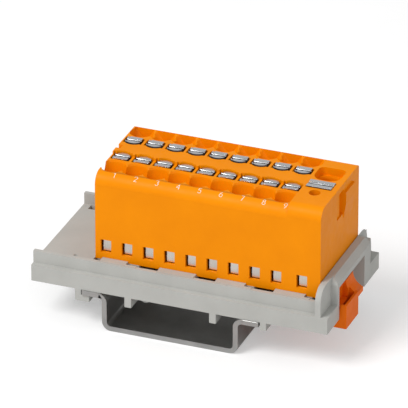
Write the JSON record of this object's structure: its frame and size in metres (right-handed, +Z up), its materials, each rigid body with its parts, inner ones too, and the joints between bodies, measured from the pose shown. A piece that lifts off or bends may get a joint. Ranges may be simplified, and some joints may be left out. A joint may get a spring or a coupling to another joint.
{
  "type": "power distribution block",
  "caption": "Push-in power distribution block: an orange terminal housing with two rows of wire entries and release buttons on a grey carrier, clipped across a piece of top-hat rail.",
  "frame": {"origin": "bottom centre of the overall box, in the rail's standing plane", "axes": "+X along the terminal rows towards the supply terminal and the release foot, -Y towards the front face with the inspection windows, +Z up towards the wire entries; the rail runs along Y"},
  "size_m": [0.06, 0.0286, 0.0311],
  "materials": {
    "housing_plastic": "satin",
    "carrier_plastic": "satin",
    "foot_plastic": "satin",
    "button_plastic": "satin",
    "rail_steel": "satin",
    "tinned_copper": "satin",
    "spring_steel": "satin"
  },
  "bodies": {
    "block": {"carrier": "carrier_plastic", "housing": "housing_plastic", "base_cover": "housing_plastic", "busbar": "tinned_copper", "din_rail": "rail_steel", "supply_spring": "spring_steel", "front_spring_1": "spring_steel", "front_spring_2": "spring_steel", "front_spring_3": "spring_steel", "front_spring_4": "spring_steel", "front_spring_5": "spring_steel", "front_spring_6": "spring_steel", "front_spring_7": "spring_steel", "front_spring_8": "spring_steel", "front_spring_9": "spring_steel", "rear_spring_1": "spring_steel", "rear_spring_2": "spring_steel", "rear_spring_3": "spring_steel", "rear_spring_4": "spring_steel", "rear_spring_5": "spring_steel", "rear_spring_6": "spring_steel", "rear_spring_7": "spring_steel", "rear_spring_8": "spring_steel", "rear_spring_9": "spring_steel"},
    "foot": {"release_foot": "foot_plastic"},
    "supply_key": {"supply_button": "button_plastic"},
    "front_key_1": {"front_button_1": "button_plastic"},
    "front_key_2": {"front_button_2": "button_plastic"},
    "front_key_3": {"front_button_3": "button_plastic"},
    "front_key_4": {"front_button_4": "button_plastic"},
    "front_key_5": {"front_button_5": "button_plastic"},
    "front_key_6": {"front_button_6": "button_plastic"},
    "front_key_7": {"front_button_7": "button_plastic"},
    "front_key_8": {"front_button_8": "button_plastic"},
    "front_key_9": {"front_button_9": "button_plastic"},
    "rear_key_1": {"rear_button_1": "button_plastic"},
    "rear_key_2": {"rear_button_2": "button_plastic"},
    "rear_key_3": {"rear_button_3": "button_plastic"},
    "rear_key_4": {"rear_button_4": "button_plastic"},
    "rear_key_5": {"rear_button_5": "button_plastic"},
    "rear_key_6": {"rear_button_6": "button_plastic"},
    "rear_key_7": {"rear_button_7": "button_plastic"},
    "rear_key_8": {"rear_button_8": "button_plastic"},
    "rear_key_9": {"rear_button_9": "button_plastic"}
  },
  "joints": [
    {"name": "foot_slide", "type": "slide", "parent": "block", "child": "foot", "axis": [1, 0, 0], "range_m": [0, 0.0022], "stiffness_N_per_m": 2500, "springref_m": -0.001},
    {"name": "supply_press", "type": "slide", "parent": "block", "child": "supply_key", "axis": [0, 0, 1], "range_m": [-0.001, 0], "stiffness_N_per_m": 9000, "springref_m": 0.0005},
    {"name": "front_press_1", "type": "slide", "parent": "block", "child": "front_key_1", "axis": [0, 0, 1], "range_m": [-0.001, 0], "stiffness_N_per_m": 6000, "springref_m": 0.0005},
    {"name": "front_press_2", "type": "slide", "parent": "block", "child": "front_key_2", "axis": [0, 0, 1], "range_m": [-0.001, 0], "stiffness_N_per_m": 6000, "springref_m": 0.0005},
    {"name": "front_press_3", "type": "slide", "parent": "block", "child": "front_key_3", "axis": [0, 0, 1], "range_m": [-0.001, 0], "stiffness_N_per_m": 6000, "springref_m": 0.0005},
    {"name": "front_press_4", "type": "slide", "parent": "block", "child": "front_key_4", "axis": [0, 0, 1], "range_m": [-0.001, 0], "stiffness_N_per_m": 6000, "springref_m": 0.0005},
    {"name": "front_press_5", "type": "slide", "parent": "block", "child": "front_key_5", "axis": [0, 0, 1], "range_m": [-0.001, 0], "stiffness_N_per_m": 6000, "springref_m": 0.0005},
    {"name": "front_press_6", "type": "slide", "parent": "block", "child": "front_key_6", "axis": [0, 0, 1], "range_m": [-0.001, 0], "stiffness_N_per_m": 6000, "springref_m": 0.0005},
    {"name": "front_press_7", "type": "slide", "parent": "block", "child": "front_key_7", "axis": [0, 0, 1], "range_m": [-0.001, 0], "stiffness_N_per_m": 6000, "springref_m": 0.0005},
    {"name": "front_press_8", "type": "slide", "parent": "block", "child": "front_key_8", "axis": [0, 0, 1], "range_m": [-0.001, 0], "stiffness_N_per_m": 6000, "springref_m": 0.0005},
    {"name": "front_press_9", "type": "slide", "parent": "block", "child": "front_key_9", "axis": [0, 0, 1], "range_m": [-0.001, 0], "stiffness_N_per_m": 6000, "springref_m": 0.0005},
    {"name": "rear_press_1", "type": "slide", "parent": "block", "child": "rear_key_1", "axis": [0, 0, 1], "range_m": [-0.001, 0], "stiffness_N_per_m": 6000, "springref_m": 0.0005},
    {"name": "rear_press_2", "type": "slide", "parent": "block", "child": "rear_key_2", "axis": [0, 0, 1], "range_m": [-0.001, 0], "stiffness_N_per_m": 6000, "springref_m": 0.0005},
    {"name": "rear_press_3", "type": "slide", "parent": "block", "child": "rear_key_3", "axis": [0, 0, 1], "range_m": [-0.001, 0], "stiffness_N_per_m": 6000, "springref_m": 0.0005},
    {"name": "rear_press_4", "type": "slide", "parent": "block", "child": "rear_key_4", "axis": [0, 0, 1], "range_m": [-0.001, 0], "stiffness_N_per_m": 6000, "springref_m": 0.0005},
    {"name": "rear_press_5", "type": "slide", "parent": "block", "child": "rear_key_5", "axis": [0, 0, 1], "range_m": [-0.001, 0], "stiffness_N_per_m": 6000, "springref_m": 0.0005},
    {"name": "rear_press_6", "type": "slide", "parent": "block", "child": "rear_key_6", "axis": [0, 0, 1], "range_m": [-0.001, 0], "stiffness_N_per_m": 6000, "springref_m": 0.0005},
    {"name": "rear_press_7", "type": "slide", "parent": "block", "child": "rear_key_7", "axis": [0, 0, 1], "range_m": [-0.001, 0], "stiffness_N_per_m": 6000, "springref_m": 0.0005},
    {"name": "rear_press_8", "type": "slide", "parent": "block", "child": "rear_key_8", "axis": [0, 0, 1], "range_m": [-0.001, 0], "stiffness_N_per_m": 6000, "springref_m": 0.0005},
    {"name": "rear_press_9", "type": "slide", "parent": "block", "child": "rear_key_9", "axis": [0, 0, 1], "range_m": [-0.001, 0], "stiffness_N_per_m": 6000, "springref_m": 0.0005}
  ]
}
